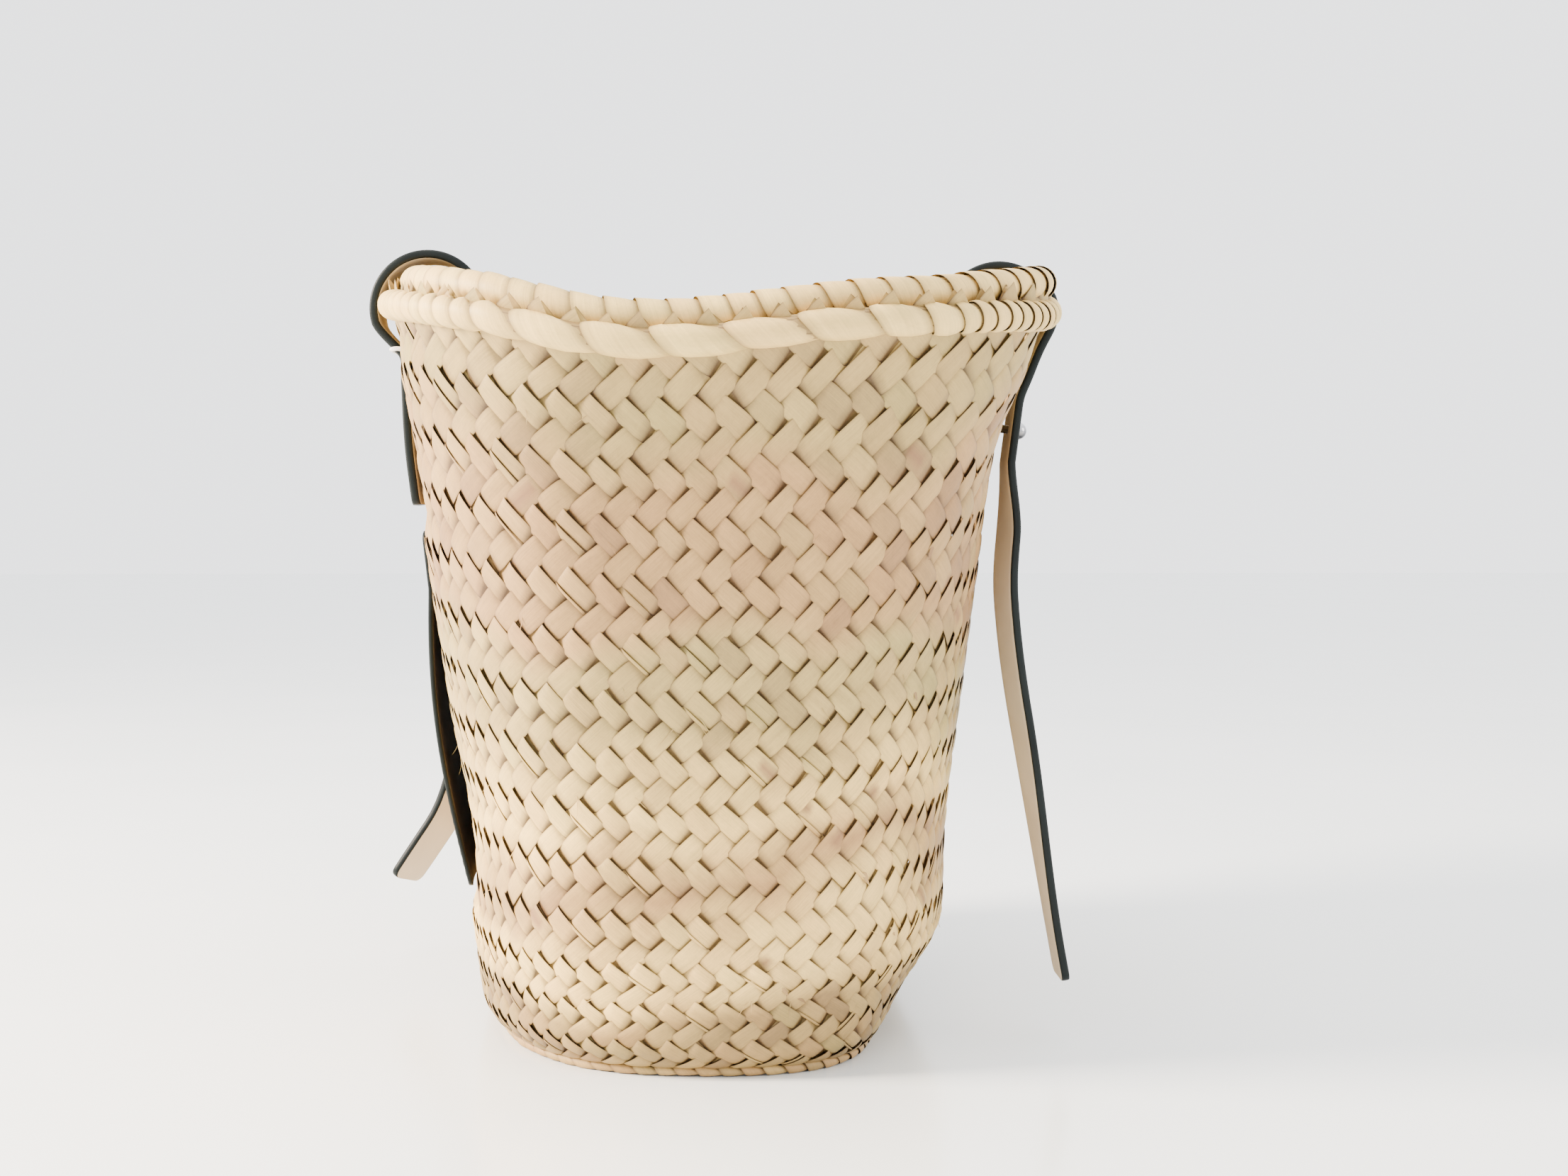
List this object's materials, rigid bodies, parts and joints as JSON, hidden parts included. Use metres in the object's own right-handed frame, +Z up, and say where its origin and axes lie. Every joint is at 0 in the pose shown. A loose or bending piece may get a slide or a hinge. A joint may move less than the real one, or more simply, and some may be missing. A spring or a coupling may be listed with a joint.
{
  "type": "basket tote bag",
  "caption": "Flared oval palm-plait basket tote with a rolled rim, leather shoulder straps that drop inside, loose strap tails, domed studs, cord ties and a bare leather patch.",
  "frame": {"origin": "on the floor, under the middle of the base", "axes": "+X along the bag's length, -Y out of the front face with the patch, +Z up"},
  "size_m": [0.4766, 0.3175, 0.3357],
  "materials": {
    "palm_plait": "plaited palm leaf, matt, straw to pink beige",
    "palm_ribbon": "wrapped palm ribbon, satin, pale straw",
    "strap_leather": "smooth green-black grain with painted edges and a beige suede back",
    "stud_metal": "polished",
    "tie_cord": "white cotton cord"
  },
  "bodies": {
    "basket": {"base_panel": "palm_plait", "wall_course_1": "palm_plait", "wall_course_2": "palm_plait", "wall_course_3": "palm_plait", "wall_course_4": "palm_plait", "rim_lower_roll": "palm_ribbon", "rim_upper_roll": "palm_ribbon", "front_patch": "strap_leather", "front_tied_end": "strap_leather", "front_tie": "tie_cord", "front_studded_length": "strap_leather", "front_stud": "stud_metal", "front_stud_cap": "stud_metal", "back_tied_end": "strap_leather", "back_tie": "tie_cord", "back_studded_length": "strap_leather", "back_stud": "stud_metal", "back_stud_cap": "stud_metal"},
    "front_lower_fold": {"front_lower_fold_tied": "strap_leather", "front_lower_fold_studded": "strap_leather"},
    "front_upper_fold": {"front_upper_fold_tied": "strap_leather", "front_upper_fold_studded": "strap_leather"},
    "front_handle": {"front_handle": "strap_leather"},
    "front_tail": {"front_tail": "strap_leather"},
    "back_lower_fold": {"back_lower_fold_tied": "strap_leather", "back_lower_fold_studded": "strap_leather"},
    "back_upper_fold": {"back_upper_fold_tied": "strap_leather", "back_upper_fold_studded": "strap_leather"},
    "back_handle": {"back_handle": "strap_leather"},
    "back_tail": {"back_tail": "strap_leather"}
  },
  "joints": [
    {"name": "front_handle_lift", "type": "hinge", "parent": "basket", "child": "front_lower_fold", "pos_m": [0, -0.14716, 0.31153], "axis": [1, 0, 0], "range_deg": [0, 57]},
    {"name": "front_handle_unroll", "type": "hinge", "parent": "front_lower_fold", "child": "front_upper_fold", "pos_m": [0, -0.12484, 0.33567], "axis": [1, 0, 0], "range_deg": [0, 57]},
    {"name": "front_handle_straighten", "type": "hinge", "parent": "front_upper_fold", "child": "front_handle", "pos_m": [0, -0.09902, 0.31532], "axis": [1, 0, 0], "range_deg": [0, 57]},
    {"name": "back_handle_lift", "type": "hinge", "parent": "basket", "child": "back_lower_fold", "pos_m": [0, 0.14716, 0.31153], "axis": [-1, 0, 0], "range_deg": [0, 57]},
    {"name": "back_handle_unroll", "type": "hinge", "parent": "back_lower_fold", "child": "back_upper_fold", "pos_m": [0, 0.12484, 0.33567], "axis": [-1, 0, 0], "range_deg": [0, 57]},
    {"name": "back_handle_straighten", "type": "hinge", "parent": "back_upper_fold", "child": "back_handle", "pos_m": [0, 0.09902, 0.31532], "axis": [-1, 0, 0], "range_deg": [0, 57]},
    {"name": "front_tail_swing", "type": "hinge", "parent": "basket", "child": "front_tail", "pos_m": [-0.09, -0.12585, 0.24793], "axis": [-1, 0, 0], "range_deg": [-5, 75]},
    {"name": "back_tail_swing", "type": "hinge", "parent": "basket", "child": "back_tail", "pos_m": [0.09, 0.12585, 0.24793], "axis": [1, 0, 0], "range_deg": [-5, 75]}
  ],
  "couplings": [
    {"joint": "front_handle_unroll", "follows": "front_handle_lift", "ratio": 1},
    {"joint": "front_handle_straighten", "follows": "front_handle_lift", "ratio": 1},
    {"joint": "back_handle_unroll", "follows": "back_handle_lift", "ratio": 1},
    {"joint": "back_handle_straighten", "follows": "back_handle_lift", "ratio": 1}
  ]
}
